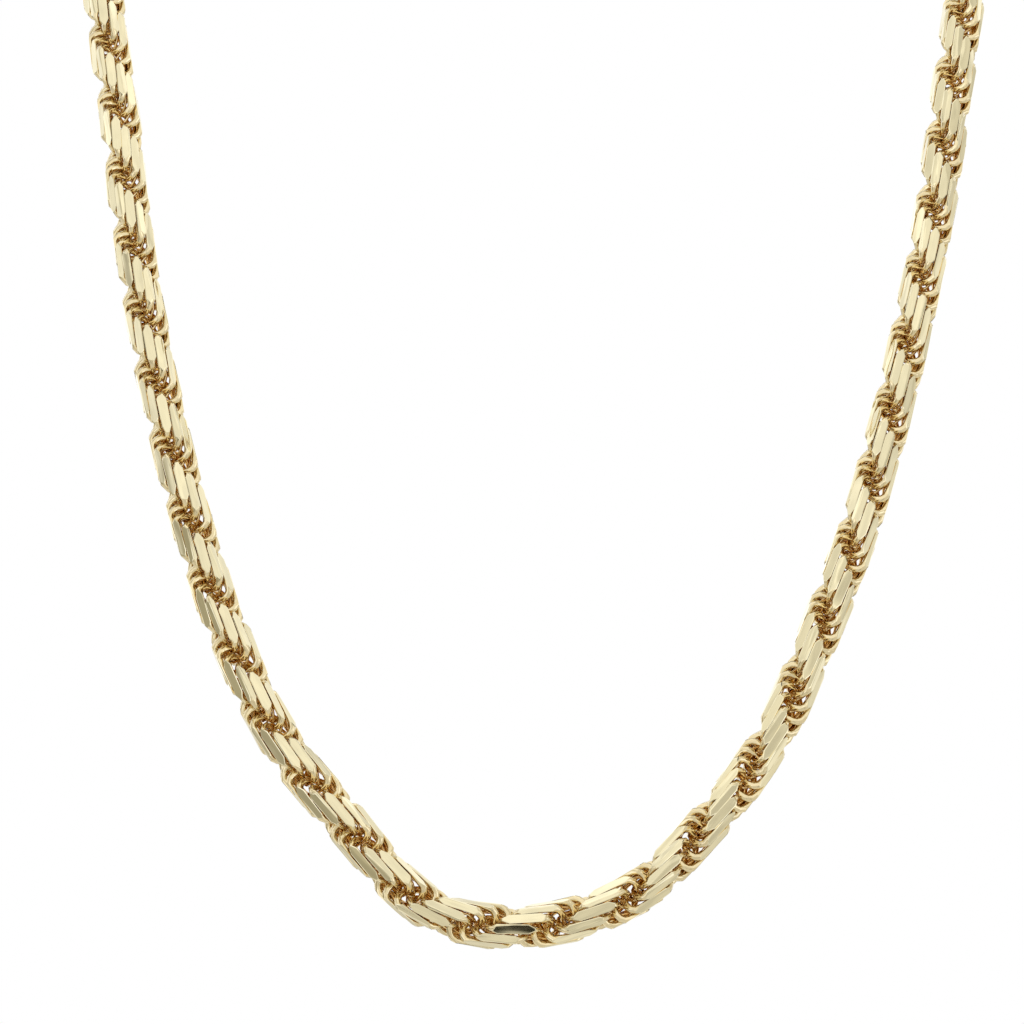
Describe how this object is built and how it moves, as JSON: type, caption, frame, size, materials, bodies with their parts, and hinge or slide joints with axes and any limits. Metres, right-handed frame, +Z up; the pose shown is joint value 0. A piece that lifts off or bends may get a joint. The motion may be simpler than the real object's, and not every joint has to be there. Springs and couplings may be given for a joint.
{
  "type": "rope chain necklace",
  "caption": "Gold rope chain necklace: twisted, faceted interlocking links in a closed loop hanging from the nape, with a plain barrel clasp.",
  "frame": {"origin": "middle of the clasp at the nape, on the rope's midline, where the chain hangs on the wearer's neck", "axes": "+Z up, -Y to the front of the wearer, +X to the right of the picture; the clasp lies along X and the front of the loop hangs down and forward"},
  "size_m": [0.118, 0.1211, 0.1551],
  "materials": {
    "faceted_gold": "polished yellow gold, links cut to bright flats on the outside, darker between them",
    "plain_gold": "polished yellow gold with fine turning and handling marks"
  },
  "bodies": {
    "root": {"rope_chain": "faceted_gold", "clasp": "plain_gold"}
  },
  "joints": []
}
